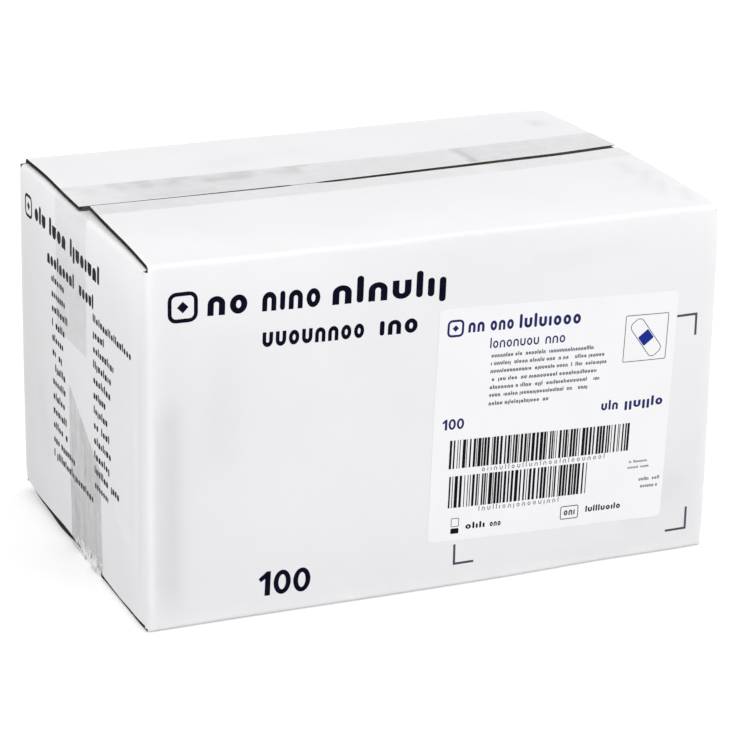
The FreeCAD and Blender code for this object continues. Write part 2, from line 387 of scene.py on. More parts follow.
class TapeLook(bpy.types.PropertyGroup):
    """Finish of the clear tape."""
    bubble: bpy.props.FloatProperty(
        name="Bubble", description="Height of the bubbles and wrinkles under the tape",
        default=0.22 * MM, unit="LENGTH",
    )
    seat: bpy.props.FloatProperty(
        name="Seat", description="How far the film stands off the board, and its glue sinks in",
        default=0.03 * MM, unit="LENGTH",
    )
    film: bpy.props.FloatVectorProperty(
        name="Film", description="Colour that the film adds",
        default=(0.06, 0.055, 0.058), subtype="COLOR",
    )
    # The milky colour also paints the bright gloss of the loose wrinkles
    milk: bpy.props.FloatVectorProperty(
        name="Milk", description="Colour of the film where it has come loose and gone milky",
        default=(0.90, 0.90, 0.89), subtype="COLOR",
    )
    haze: bpy.props.FloatProperty(
        name="Haze", description="Opacity of the film", default=0.095, min=0.0, max=1.0,
    )


class PrintLook(bpy.types.PropertyGroup):
    """Ink on the board and the label."""
    ink_height: bpy.props.FloatProperty(
        name="Ink height", description="How far the ink stands off the paper",
        default=0.035 * MM, unit="LENGTH",
    )
    navy: bpy.props.FloatVectorProperty(
        name="Navy", description="Ink of the large print",
        default=(0.0008, 0.0014, 0.011), subtype="COLOR",
    )
    indigo: bpy.props.FloatVectorProperty(
        name="Indigo", description="Ink of the label's large print",
        default=(0.020, 0.024, 0.125), subtype="COLOR",
    )
    blue: bpy.props.FloatVectorProperty(
        name="Blue", description="Ink of the sign on the label",
        default=(0.012, 0.025, 0.27), subtype="COLOR",
    )
    grey: bpy.props.FloatVectorProperty(
        name="Grey", description="Ink of the small print, thin lines and corner marks",
        default=(0.075, 0.078, 0.115), subtype="COLOR",
    )
    black: bpy.props.FloatVectorProperty(
        name="Black", description="Ink of the bar codes",
        default=(0.004, 0.004, 0.006), subtype="COLOR",
    )


class LabelLook(bpy.types.PropertyGroup):
    """Finish of the paper label."""
    paper: bpy.props.FloatVectorProperty(
        name="Paper", description="Colour of the label",
        default=(0.895, 0.895, 0.91), subtype="COLOR",
    )
    seat: bpy.props.FloatProperty(
        name="Seat", description="Glue line between the label and the board",
        default=0.02 * MM, unit="LENGTH",
    )


class StageLook(bpy.types.PropertyGroup):
    """Camera, lamps and floor."""
    camera_place: bpy.props.FloatVectorProperty(
        name="Camera place", description="Where the camera stands",
        default=(-0.4530, -1.0560, 0.4741), subtype="TRANSLATION", unit="LENGTH",
    )
    camera_turn: bpy.props.FloatProperty(
        name="Camera turn", description="The way it looks, from straight ahead to the right",
        default=math.radians(23.396), subtype="ANGLE",
    )
    camera_dip: bpy.props.FloatProperty(
        name="Camera dip", description="How far down it looks",
        default=math.radians(19.632), subtype="ANGLE",
    )
    camera_roll: bpy.props.FloatProperty(
        name="Camera roll", description="How far it leans",
        default=math.radians(0.969), subtype="ANGLE",
    )
    camera_lens: bpy.props.FloatProperty(
        name="Lens", description="Focal length in millimetres", default=147.713,
    )
    sky: bpy.props.FloatProperty(
        name="Sky", description="Strength of the even light from all round", default=0.89,
    )
    overhead: bpy.props.FloatProperty(
        name="Overhead", description="Power of the large lamp overhead",
        default=2.4, unit="POWER",
    )
    right: bpy.props.FloatProperty(
        name="Right", description="Power of the lamp in front, to the right",
        default=5.8, unit="POWER",
    )
    left: bpy.props.FloatProperty(
        name="Left", description="Power of the small lamp to the left",
        default=0.2, unit="POWER",
    )
    floor: bpy.props.FloatVectorProperty(
        name="Floor", description="Colour of the floor",
        default=(0.80, 0.80, 0.80), subtype="COLOR",
    )
    lift: bpy.props.FloatProperty(
        name="Floor lift", description="How much whiter the floor looks to the camera",
        default=0.16,
    )


def look(name):
    """The settings of one group, as the scene has them."""
    return getattr(bpy.context.scene, "carton_" + name)


# Numbers and places


def smooth(share):
    """0 below 0, 1 above 1, and an even rise between."""
    share = min(max(share, 0.0), 1.0)
    return share * share * (3 - 2 * share)


def crease_depth(crease, place):
    """The depth of a crease at a place."""
    start, end, half_width, depth = crease
    start = Vector(start)
    run = Vector(end) - start
    share = (place - start).dot(run) / run.length_squared
    share = min(max(share, 0.0), 1.0)
    away = (place - start - run * share).length / half_width
    if away > FAR:
        return 0.0
    fade = smooth(min(share, 1 - share) / CREASE_FADE)
    return depth * math.exp(-away * away) * fade


def dent_depth(dent, place):
    """The depth of a dent at a place, or the change of painted light and shade round a spot."""
    middle, half_sizes, depth = dent
    along = (place.x - middle[0]) / half_sizes[0]
    across = (place.y - middle[1]) / half_sizes[1]
    away = along * along + across * across
    return depth * math.exp(-away) if away < FAR ** 2 else 0.0


class Panel:
    """One outer face of the carton: which way it faces, and how it has bowed and dented."""
    def __init__(self, name, axis, sign, bow):
        self.name = name
        self.axis = axis
        self.sign = sign
        self.bow = bow
        self.across = [other for other in range(3) if other != axis]

    def depth(self, point):
        """How far inside this face a point lies."""
        wall = CARTON_HIGH if self.sign > 0 else CARTON_LOW
        return max(0.0, (wall[self.axis] - point[self.axis]) * self.sign)

    def place(self, point):
        """Where on this face a point lies, from the face's low corner."""
        return Vector([point[axis] - CARTON_LOW[axis] for axis in self.across])

    def rise(self, point):
        """How far this face stands out of true at a point."""
        place = self.place(point)
        rise = self.bow
        for axis, distance in zip(self.across, place):
            share = distance / (CARTON_HIGH[axis] - CARTON_LOW[axis])
            rise *= max(0.0, 4 * share * (1 - share))
        rise -= self.folds(place)
        rise -= sum(dent_depth(dent, place) for dent in DENTS.get(self.name, []))
        return rise

    def folds(self, place):
        """The depth of this face's creases at a place."""
        return sum(crease_depth(crease, place) for crease in CREASES.get(self.name, []))


def carton_panels():
    """The five outer faces that have bowed or dented."""
    carton = look("board")
    bow = carton.bow / MM
    return [
        Panel("front", 1, -1, bow),
        Panel("back", 1, 1, bow),
        Panel("left", 0, -1, 0.6 * bow),
        Panel("right", 0, 1, 0.6 * bow),
        Panel("top", 2, 1, -carton.sag / MM),
    ]


def from_seam(place):
    """How far behind the middle of the top seam a place is."""
    return place.y - SEAM_LEFT - (SEAM_RIGHT - SEAM_LEFT) * place.x / LENGTH


def seam_move(place):
    """How far the flaps have moved up or down and apart beside the top seam."""
    if place.z < HEIGHT - SEAM_DEPTH:
        return Vector()
    away = from_seam(place)
    side = min(max(away / SEAM_EDGE, -1.0), 1.0)
    side *= smooth((place.z - HEIGHT + SEAM_DEPTH) / 4)
    step = SEAM_STEP * smooth((place.x / LENGTH - 0.25) / 0.6)
    step *= math.exp(-(away / SEAM_STEP_REACH) ** 2)
    wide = smooth((place.x - SEAM_OPENS) / 4) * (2.1 - 1.6 * place.x / LENGTH)
    opening = SEAM_OPENING * (0.5 * smooth((place.x - SEAM_LOOSENS) / 8) + wide)
    closed = smooth((place.x - SEAM_CLOSES) / 5) * (1 - smooth((place.x - SEAM_OPENS + 4) / 4))
    apart = (opening - SEAM_CLOSING * closed) * math.exp(-(away / SEAM_REACH) ** 2)
    return Vector((0, apart * side, step * side))


def settler():
    """A function that moves a point of the true carton, in metres, to where the used carton
    has it. Every piece goes through it, so tape, label and ink stay on the board."""
    noise.seed_set(NOISE_SEED)
    carton = look("board")
    panels = carton_panels()
    drift = carton.drift / MM
    ripple = carton.ripple / MM
    spans = (LENGTH, WIDTH, HEIGHT)
    corners = []
    for shares, push, radius in BUMPED_CORNERS:
        corner = [low + span * share for low, span, share in zip(CARTON_LOW, spans, shares)]
        corners.append((Vector(corner), Vector(push), radius))

    def settle(point):
        point = point / MM
        moved = noise.noise_vector(point / DRIFT_SIZE) * drift
        moved += noise.noise_vector(point / RIPPLE_SIZE + Vector((9, 4, 2))) * ripple
        for panel in panels:
            depth = panel.depth(point)
            if depth < PANEL_REACH:
                weight = 1 - smooth(depth / PANEL_REACH)
                moved[panel.axis] += panel.sign * panel.rise(point) * weight
        for corner, push, radius in corners:
            away = (point - corner).length / radius
            if away < FAR:
                moved += push * math.exp(-away * away)
        moved.z *= smooth((point.z - CARTON_LOW.z) / BASE_REACH)
        place = point - CARTON_LOW
        for middle, reach, push, (foot, rise) in NUDGES:
            away = sum(((place[axis] - middle[axis]) / reach[axis]) ** 2 for axis in range(3))
            if away < FAR ** 2:
                push = Vector(push) * math.exp(-away)
                push.z *= smooth((place.z - foot) / rise)
                moved += push
        moved += seam_move(place)
        return (point + moved) * MM

    return settle


def past_folds(point):
    """From the box through the middles of the folds out to a point. Both are in millimetres."""
    away = Vector()
    for axis in range(3):
        low = CARTON_LOW[axis] + FOLD_RADIUS
        high = CARTON_HIGH[axis] - FOLD_RADIUS
        away[axis] = point[axis] - min(max(point[axis], low), high)
    return away


def outward(point):
    """The way out of the carton at a point on or near its skin, in metres."""
    away = past_folds([part / MM for part in point])
    return away.normalized() if away.length > 0 else away


def off_board(point):
    """How far off the board's face a point is, or in it when below 0, in millimetres."""
    return past_folds(point).length - FOLD_RADIUS


# Meshes


def mesh_of(name, bm):
    """Turns an edited mesh into a mesh of its own."""
    mesh = bpy.data.meshes.new(name)
    bm.to_mesh(mesh)
    bm.free()
    return mesh


def add_object(name, data):
    """Puts an object into the scene."""
    thing = bpy.data.objects.new(name, data)
    bpy.context.scene.collection.objects.link(thing)
    return thing


def grid_places(axis):
    """Places of the cutting planes across an axis, in metres."""
    scale = 1.0
    low, high = CARTON_LOW[axis], CARTON_HIGH[axis]
    places = []
    place = low + EDGE_STEP * scale * 0.5
    while place < high:
        places.append(place * MM)
        near_edge = min(place - low, high - place) < EDGE_ZONE
        place += (EDGE_STEP if near_edge else PANEL_STEP) * scale
    return places


def in_skin(face):
    """Whether a face lies in the outer ply of the carton."""
    centre = face.calc_center_median() / MM
    depths = [centre[axis] - CARTON_LOW[axis] for axis in range(3)]
    depths += [CARTON_HIGH[axis] - centre[axis] for axis in range(3)]
    return min(depths) < SKIN_DEPTH


def cut_on_grid(bm, skin_only=False):
    """Cuts a mesh along the shared planes, so that it can bend."""
    for axis in range(3):
        normal = Vector((0, 0, 0))
        normal[axis] = 1
        waiting = []
        for face in bm.faces:
            if not skin_only or in_skin(face):
                waiting.append((min(vertex.co[axis] for vertex in face.verts), face))
        waiting.sort(key=lambda pair: pair[0], reverse=True)
        reached = []
        for place in grid_places(axis):
            while waiting and waiting[-1][0] < place:
                reached.append(waiting.pop()[1])
            reached = [
                face for face in reached if max(vertex.co[axis] for vertex in face.verts) > place
            ]
            if not reached:
                continue
            edges = {edge for face in reached for edge in face.edges}
            verts = {vertex for face in reached for vertex in face.verts}
            cut = bmesh.ops.bisect_plane(
                bm, geom=list(verts) + list(edges) + reached, dist=MERGE_DISTANCE / 10,
                plane_co=normal * place, plane_no=normal,
            )
            reached = [item for item in cut["geom"] if isinstance(item, bmesh.types.BMFace)]


def merged_copy(node):
    """The solid of a node as one joined mesh."""
    bm = bmesh.new()
    bm.from_mesh(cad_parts[node].data)
    bmesh.ops.remove_doubles(bm, verts=bm.verts, dist=MERGE_DISTANCE)
    bmesh.ops.dissolve_limit(bm, angle_limit=FLAT_ANGLE, verts=bm.verts, edges=bm.edges)
    return bm


def move_points(bm, mover):
    """Moves every point of a mesh to where a function has it."""
    for vertex in bm.verts:
        vertex.co = mover(vertex.co)


def finished_piece(name, bm, materials, node=None):
    """Turns a mesh into a piece of the carton, in place of a node if one is named."""
    mesh = mesh_of(name, bm)
    for material in materials:
        mesh.materials.append(material)
    mesh.shade_smooth()
    mesh.set_sharp_from_angle(angle=SHARP_ANGLE)
    piece = add_object(name, mesh)
    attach(piece, "root")
    if node:
        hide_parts(node)


# Materials


class NodeMaker:
    """Adds nodes to a tree and joins them up."""
    def __init__(self, tree):
        self.tree = tree
        self.nodes = tree.nodes
        self.links = tree.links

    def connect(self, value, socket):
        """Gives a socket a link, a number, a name or a colour."""
        if isinstance(value, bpy.types.NodeSocket):
            self.links.new(value, socket)
        elif isinstance(value, tuple):
            socket.default_value = (*value, 1.0)
        else:
            socket.default_value = value

    def math(self, operation, *values):
        """One step of arithmetic on numbers or sockets."""
        node = self.nodes.new("ShaderNodeMath")
        node.operation = operation
        for socket, value in zip(node.inputs, values):
            self.connect(value, socket)
        return node.outputs[0]

    def direct_view(self):
        """1 where the camera sees a thing, or sees it in a gloss or through glass."""
        path = self.nodes.new("ShaderNodeLightPath").outputs
        plain = self.math("MAXIMUM", path["Is Camera Ray"], path["Is Glossy Ray"])
        return self.math("MAXIMUM", plain, path["Is Transmission Ray"])


class MaterialMaker(NodeMaker):
    """A node material on the piece's own coordinates."""
    def __init__(self, name):
        self.material = bpy.data.materials.new(name)
        self.material.use_nodes = True
        super().__init__(self.material.node_tree)
        self.shader = self.nodes["Principled BSDF"]
        self.coordinates = self.nodes.new("ShaderNodeTexCoord").outputs["Object"]

    def set(self, **values):
        """Sets plain values of the shader."""
        for name, value in values.items():
            self.shader.inputs[name.replace("_", " ")].default_value = value

    def noise(self, size, detail=2.0, roughness=0.5, stretch=(1, 1, 1)):
        """Noise whose patches are about size metres across, longer where stretch is larger."""
        mapping = self.nodes.new("ShaderNodeMapping")
        mapping.inputs["Scale"].default_value = [1 / (size * share) for share in stretch]
        self.links.new(self.coordinates, mapping.inputs["Vector"])
        texture = self.nodes.new("ShaderNodeTexNoise")
        texture.inputs["Scale"].default_value = 1.0
        texture.inputs["Detail"].default_value = detail
        texture.inputs["Roughness"].default_value = roughness
        self.links.new(mapping.outputs["Vector"], texture.inputs["Vector"])
        return texture.outputs["Fac"]

    def span(self, value, low, high, to_low, to_high):
        """Maps a value's range onto another, and clamps it."""
        node = self.nodes.new("ShaderNodeMapRange")
        self.connect(value, node.inputs["Value"])
        names = ("From Min", "From Max", "To Min", "To Max")
        for name, number in zip(names, (low, high, to_low, to_high)):
            node.inputs[name].default_value = number
        return node.outputs["Result"]

    def blend(self, share, first, second):
        """Mixes two colours."""
        node = self.nodes.new("ShaderNodeMix")
        node.data_type = "RGBA"
        self.connect(share, node.inputs[0])
        self.connect(first, node.inputs[6])
        self.connect(second, node.inputs[7])
        return node.outputs[2]

    def mottle(self, pattern, colour, dark, light):
        """A colour that runs from a darker to a lighter shade with a pattern."""
        share = self.span(pattern, 0.3, 0.7, 0, 1)
        return self.blend(share, shade(colour, dark), shade(colour, light))

    def scale(self, colour, factor):
        """Makes a colour lighter or darker."""
        node = self.nodes.new("ShaderNodeVectorMath")
        node.operation = "SCALE"
        self.links.new(colour, node.inputs[0])
        self.connect(factor, node.inputs["Scale"])
        return node.outputs[0]

    def parts(self, vector):
        """The X, Y and Z of a vector."""
        node = self.nodes.new("ShaderNodeSeparateXYZ")
        self.links.new(vector, node.inputs[0])
        return node.outputs

    def attribute(self, name):
        """A number that is stored on the mesh."""
        node = self.nodes.new("ShaderNodeAttribute")
        node.attribute_name = name
        return node.outputs["Fac"]

    def bump(self, height, distance, strength, under=None):
        """Small relief, over another one if that is given."""
        node = self.nodes.new("ShaderNodeBump")
        node.inputs["Distance"].default_value = distance
        node.inputs["Strength"].default_value = strength
        self.connect(height, node.inputs["Height"])
        if under is not None:
            self.links.new(under, node.inputs["Normal"])
        return node.outputs["Normal"]

    def finish(self, **sockets):
        """Connects the shader and returns the material."""
        for name, value in sockets.items():
            self.connect(value, self.shader.inputs[name.replace("_", " ")])
        return self.material


def shade(colour, factor):
    """A colour made lighter or darker, and no lighter than white."""
    return tuple(min(1.0, part * factor) for part in colour)


def washboard(maker):
    """The flutes under the face, which run up the sides and across the top."""
    geometry = maker.nodes.new("ShaderNodeNewGeometry")
    facing = maker.parts(geometry.outputs["Normal"])
    place = maker.parts(maker.coordinates)
    on_end = maker.math("GREATER_THAN", maker.math("ABSOLUTE", facing[0]), 0.7)
    along = maker.math("MULTIPLY", place[1], on_end)
    rest = maker.math("SUBTRACT", 1.0, on_end)
    along = maker.math("MULTIPLY_ADD", place[0], rest, along)
    turns = maker.math("MULTIPLY", along, 2 * math.pi / look("board").flute_pitch)
    return maker.math("SINE", turns)


def board_material():
    """White paper face: fibres, faint flutes, crushed folds with a painted highlight, a little dirt
    in grey specks, and painted light and shade stored on the mesh.
    """
    white = tuple(look("board").white)
    maker = MaterialMaker("white_board")
    fibre = maker.noise(0.9 * MM, detail=6, roughness=0.65)
    cloud = maker.noise(34 * MM, detail=3)
    base = maker.mottle(cloud, white, 0.985, 1.01)
    # Painted light and shade, stored on the mesh, lighten and darken the paper
    base = maker.scale(base, maker.attribute("tone"))
    speck = maker.span(fibre, 0.30, 0.42, 0.06, 0.0)
    base = maker.blend(speck, base, (0.60, 0.59, 0.57))
    # Painted highlight along the folds, in patches
    rub = maker.attribute("rub")
    patchy = maker.span(maker.noise(9 * MM, detail=4, roughness=0.6), 0.34, 0.66, 0.2, 1.0)
    fold_highlight = maker.math("MULTIPLY", rub, maker.math("MULTIPLY", patchy, 0.55))
    base = maker.blend(fold_highlight, base, (0.92, 0.92, 0.93))
    grain = maker.bump(fibre, 0.06 * MM, 0.35)
    flutes = maker.bump(washboard(maker), 0.008 * MM, 0.5, grain)
    crush = maker.math("MULTIPLY", rub, maker.noise(3.4 * MM, detail=4, roughness=0.6))
    crushed = maker.bump(crush, 0.35 * MM, 0.8, flutes)
    rough = maker.span(fibre, 0.3, 0.7, 0.60, 0.78)
    maker.set(Specular_IOR_Level=0.32)
    return maker.finish(Base_Color=base, Roughness=rough, Normal=crushed)


def shaded_kraft_material():
    """Brown paper of the cut edges and the inside, darkened well below its own colour to paint the
    shade in the open flutes and gaps.
    """
    kraft = tuple(look("board").kraft)
    maker = MaterialMaker("kraft_board")
    fibre = maker.noise(0.6 * MM, detail=6, roughness=0.7, stretch=(3, 3, 1))
    cloud = maker.noise(12 * MM, detail=3)
    base = maker.mottle(fibre, kraft, 0.7, 1.35)
    base = maker.blend(maker.span(cloud, 0.35, 0.65, 0, 0.4), base, shade(kraft, 0.6))
    normal = maker.bump(fibre, 0.12 * MM, 0.6)
    maker.set(Specular_IOR_Level=0.2)
    return maker.finish(Base_Color=base, Roughness=0.9, Normal=normal)


def clear_of_seam(maker):
    """Less than 1 over the gap of the top seam, where no glue has gone cloudy."""
    place = maker.parts(maker.coordinates)
    slope = (SEAM_RIGHT - SEAM_LEFT) / LENGTH
    start = (CARTON_LOW.y + SEAM_LEFT - CARTON_LOW.x * slope) * MM
    line = maker.math("MULTIPLY_ADD", place[0], slope, start)
    away = maker.math("ABSOLUTE", maker.math("SUBTRACT", place[1], line))
    low = maker.span(place[2], (CARTON_HIGH.z - 3) * MM, (CARTON_HIGH.z - 2) * MM, 1.0, 0.0)
    opens = (CARTON_LOW.x + SEAM_OPENS) * MM
    shut = maker.span(place[0], opens - 4 * MM, opens, 1.0, 0.0)
    clouded = maker.span(away, 1.0 * MM, 1.9 * MM, 0.1, 1.0)
    return maker.math("MAXIMUM", maker.math("MAXIMUM", low, shut), clouded)


def tape_material():
    """Clear film: a little grey, with bubbles, streaks along its run, gloss, and milky spots whose
    white also paints the gloss of loose wrinkles.
    """
    tape = look("tape")
    film = tuple(tape.film)
    maker = MaterialMaker("clear_tape")
    streak = maker.noise(2.0 * MM, detail=3, stretch=(14, 1, 14))
    patch = maker.noise(5 * MM, detail=5, roughness=0.65)
    haze = maker.span(patch, 0.32, 0.70, tape.haze * 0.7, tape.haze * 1.35)
    lines = maker.span(streak, 0.48, 0.75, 0.0, tape.haze)
    lines = maker.math("MULTIPLY", maker.attribute("streaks"), lines)
    haze = maker.math("MULTIPLY", maker.math("ADD", haze, lines), maker.attribute("haze"))
    haze = maker.math("MULTIPLY", haze, clear_of_seam(maker))
    # Milky film where it is loose, whose white also paints the gloss of its wrinkles
    milky = maker.span(patch, 0.40, 0.54, 0.1, 0.92)
    milky = maker.math("MULTIPLY", maker.attribute("milky"), milky)
    base = maker.mottle(patch, film, 0.85, 1.2)
    base = maker.blend(maker.math("MULTIPLY", milky, 4.0), base, tuple(tape.milk))
    normal = maker.bump(streak, 0.05 * MM, 0.5)
    normal = maker.bump(patch, 0.12 * MM, 0.5, normal)
    rough = maker.span(patch, 0.3, 0.7, 0.12, 0.26)
    maker.set(Specular_IOR_Level=0.5)
    alpha = maker.math("ADD", haze, milky)
    return maker.finish(Base_Color=base, Roughness=rough, Alpha=alpha, Normal=normal)


def label_material():
    """Smooth white label paper."""
    paper = tuple(look("label").paper)
    maker = MaterialMaker("label_paper")
    fibre = maker.noise(0.7 * MM, detail=5, roughness=0.6)
    cloud = maker.noise(20 * MM, detail=3)
    base = maker.mottle(cloud, paper, 0.985, 1.01)
    normal = maker.bump(fibre, 0.02 * MM, 0.3)
    rough = maker.span(fibre, 0.3, 0.7, 0.42, 0.55)
    maker.set(Specular_IOR_Level=0.4)
    return maker.finish(Base_Color=base, Roughness=rough, Normal=normal)


def ink_material(ink):
    """Ink of one colour, a little uneven where the paper shows through."""
    colour = tuple(getattr(look("print"), ink))
    maker = MaterialMaker("ink_" + ink)
    grain = maker.noise(0.5 * MM, detail=4, roughness=0.7)
    patch = maker.noise(5 * MM, detail=3)
    thin = maker.span(grain, 0.34, 0.60, 0.10, 0.0)
    light = tuple(part * 0.95 + 0.012 for part in colour)
    base = maker.blend(thin, colour, light)
    base = maker.blend(maker.span(patch, 0.35, 0.7, 0, 0.2), base, light)
    normal = maker.bump(grain, 0.02 * MM, 0.3)
    maker.set(Specular_IOR_Level=0.03)
    return maker.finish(Base_Color=base, Roughness=0.52, Normal=normal)


# Geometry node trees


def socket_named(sockets, name):
    """The socket of a name that is in use, where several kinds share the name."""
    return next(socket for socket in sockets if socket.enabled and socket.name == name)


class TreeMaker(NodeMaker):
    """A geometry node tree that repeats a shape. Its inputs are named, and it ends in real
    geometry with one material."""
    def __init__(self, name, inputs):
        super().__init__(bpy.data.node_groups.new(name, "GeometryNodeTree"))
        sockets = self.tree.interface
        sockets.new_socket("Geometry", in_out="OUTPUT", socket_type="NodeSocketGeometry")
        for label, kind in (("Shape", "Geometry"), *inputs, ("Ink", "Material")):
            sockets.new_socket(label, in_out="INPUT", socket_type="NodeSocket" + kind)
        self.given = self.nodes.new("NodeGroupInput").outputs

    def node(self, kind, settings=None, **inputs):
        """A node with its settings, and its inputs by name."""
        node = self.nodes.new(kind)
        for name, value in (settings or {}).items():
            setattr(node, name, value)
        for name, value in inputs.items():
            self.connect(value, socket_named(node.inputs, name.replace("_", " ")))
        return node

    def vector(self, x=0.0, y=0.0, z=0.0):
        """A vector from numbers or sockets."""
        return self.node("ShaderNodeCombineXYZ", X=x, Y=y, Z=z).outputs[0]

    def random(self, low, high, seed_shift):
        """An even random number for each point, from the tree's seed."""
        seed = self.math("ADD", self.given["Seed"], float(seed_shift))
        node = self.node("FunctionNodeRandomValue", {"data_type": "FLOAT"}, Min=low, Max=high)
        self.connect(seed, socket_named(node.inputs, "Seed"))
        return node.outputs[1]

    def store(self, geometry, name, value):
        """Keeps a number on every point under a name."""
        return self.node(
            "GeometryNodeStoreNamedAttribute", {"data_type": "FLOAT", "domain": "POINT"},
            Geometry=geometry, Name=name, Value=value,
        ).outputs[0]

    def stored(self, name):
        """A number that is kept on every point under a name."""
        kind = {"data_type": "FLOAT"}
        return self.node("GeometryNodeInputNamedAttribute", kind, Name=name).outputs[0]

    def end(self, geometry):
        """Makes the copies real."""
        return self.node("GeometryNodeRealizeInstances", Geometry=geometry).outputs[0]

    def close(self, geometry):
        """Gives the geometry its ink and ends the tree."""
        ink = self.given["Ink"]
        painted = self.node("GeometryNodeSetMaterial", Geometry=geometry, Material=ink)
        out = self.nodes.new("NodeGroupOutput")
        self.links.new(painted.outputs[0], out.inputs[0])
        return self.tree


def bar_code_tree():
    """Upright bars and spaces of one to four modules, fitted to a length."""
    maker = TreeMaker("bar_code", [
        ("Length", "Float"), ("Height", "Float"), ("Bars", "Int"), ("Seed", "Int"),
    ])
    given = maker.given
    line = maker.node("GeometryNodeMeshLine", {"mode": "OFFSET"}, Count=given["Bars"])
    bar = maker.math("FLOOR", maker.random(1.0, 4.4, 0))
    space = maker.math("FLOOR", maker.random(1.0, 3.5, 100))
    both = maker.math("ADD", bar, space)
    run = maker.node("GeometryNodeAccumulateField", {"data_type": "FLOAT"}, Value=both)
    start = socket_named(run.outputs, "Trailing")
    total = socket_named(run.outputs, "Total")
    module = maker.math("DIVIDE", given["Length"], total)
    place = maker.vector(x=maker.math("MULTIPLY", start, module))
    placed = maker.node("GeometryNodeSetPosition", Geometry=line.outputs[0], Position=place)
    size = maker.vector(maker.math("MULTIPLY", bar, module), 1.0, given["Height"])
    copies = maker.node(
        "GeometryNodeInstanceOnPoints",
        Points=placed.outputs[0], Instance=given["Shape"], Scale=size,
    )
    return maker.close(maker.end(copies.outputs[0]))


def row_tree():
    """A row of strokes, rings, arches and cups in random order. Some strokes stand taller or
    reach lower, some places stay empty, and the row is fitted to its length."""
    maker = TreeMaker("row_of_shapes", [
        ("Length", "Float"), ("Height", "Float"), ("Stroke", "Float"), ("Gap", "Float"),
        ("Breaks", "Float"), ("Seed", "Int"),
    ])
    given = maker.given
    wide = maker.math("MULTIPLY_ADD", given["Height"], SHAPE_WIDTH, given["Gap"])
    narrow = maker.math("ADD", given["Stroke"], given["Gap"])
    saved = maker.math("SUBTRACT", wide, narrow)
    usual = maker.math("MULTIPLY_ADD", saved, -STROKE_CHANCE, wide)
    count = maker.math("ROUND", maker.math("DIVIDE", given["Length"], usual))
    line = maker.node(
        "GeometryNodeMeshLine", {"mode": "OFFSET"}, Count=maker.math("MAXIMUM", count, 1.0),
    )
    chance = maker.random(0.0, 1.0, 0)
    is_stroke = maker.math("LESS_THAN", chance, STROKE_CHANCE)
    cell = maker.math("SUBTRACT", wide, maker.math("MULTIPLY", saved, is_stroke))
    run = maker.node("GeometryNodeAccumulateField", {"data_type": "FLOAT"}, Value=cell)
    room = maker.math("ADD", given["Length"], given["Gap"])
    fit = maker.math("DIVIDE", room, socket_named(run.outputs, "Total"))
    start = maker.math("MULTIPLY", socket_named(run.outputs, "Trailing"), fit)
    straight = maker.math("SUBTRACT", given["Height"], given["Stroke"])
    tall = maker.math("GREATER_THAN", chance, STROKE_CHANCE * 0.45)
    rise = maker.math("MULTIPLY_ADD", maker.math("MULTIPLY", tall, 0.42), given["Height"], straight)
    low = maker.math("LESS_THAN", chance, STROKE_CHANCE * 0.2)
    drop = maker.math("MULTIPLY", maker.math("MULTIPLY", low, 0.32), given["Height"])
    place = maker.vector(x=start)
    placed = maker.node("GeometryNodeSetPosition", Geometry=line.outputs[0], Position=place)
    placed = maker.store(maker.store(placed.outputs[0], "rise", rise), "drop", drop)
    kept = maker.math("GREATER_THAN", maker.random(0.0, 1.0, 50), given["Breaks"])
    scale = maker.vector(fit, 1.0, 1.0)
    rows = maker.node("GeometryNodeJoinGeometry")
    lowest = 0.0
    for number, highest in enumerate((STROKE_CHANCE, RING_CHANCE, ARCH_CHANCE, 1.0)):
        apart = maker.math("ABSOLUTE", maker.math("SUBTRACT", maker.stored("kind"), float(number)))
        shape = maker.node(
            "GeometryNodeSeparateGeometry", {"domain": "POINT"},
            Geometry=given["Shape"], Selection=maker.math("LESS_THAN", apart, 0.5),
        )
        chosen = maker.math("GREATER_THAN", chance, lowest)
        chosen = maker.math("MULTIPLY", chosen, maker.math("LESS_THAN", chance, highest))
        copies = maker.node(
            "GeometryNodeInstanceOnPoints", Points=placed, Instance=shape.outputs[0],
            Selection=maker.math("MULTIPLY", chosen, kept), Scale=scale,
        )
        maker.links.new(copies.outputs[0], rows.inputs[0])
        lowest = highest
    real = maker.end(rows.outputs[0])
    upper = maker.stored("upper")
    lift = maker.math("MULTIPLY", upper, maker.stored("rise"))
    is_dot = maker.math("LESS_THAN", maker.stored("kind"), 0.5)
    lower = maker.math("MULTIPLY", is_dot, maker.math("SUBTRACT", 1.0, upper))
    sunk = maker.math("MULTIPLY", lower, maker.stored("drop"))
    offset = maker.vector(z=maker.math("SUBTRACT", lift, sunk))
    stretched = maker.node("GeometryNodeSetPosition", Geometry=real, Offset=offset)
    return maker.close(stretched.outputs[0])


def grown(tree, shape, values):
    """The plain mesh that a tree makes from a shape."""
    holder = add_object("holder", shape)
    modifier = holder.modifiers.new("Repeat", "NODES")
    modifier.node_group = tree
    for item in tree.interface.items_tree:
        if item.item_type == "SOCKET" and item.in_out == "INPUT" and item.name in values:
            modifier[item.identifier] = values[item.name]
    graph = bpy.context.evaluated_depsgraph_get()
    mesh = bpy.data.meshes.new_from_object(holder.evaluated_get(graph), depsgraph=graph)
    holder.modifiers.remove(modifier)
    bpy.data.objects.remove(holder)
    for name in ("kind", "upper", "rise", "drop"):
        if name in mesh.attributes:
            mesh.attributes.remove(mesh.attributes[name])
    return mesh


# Print


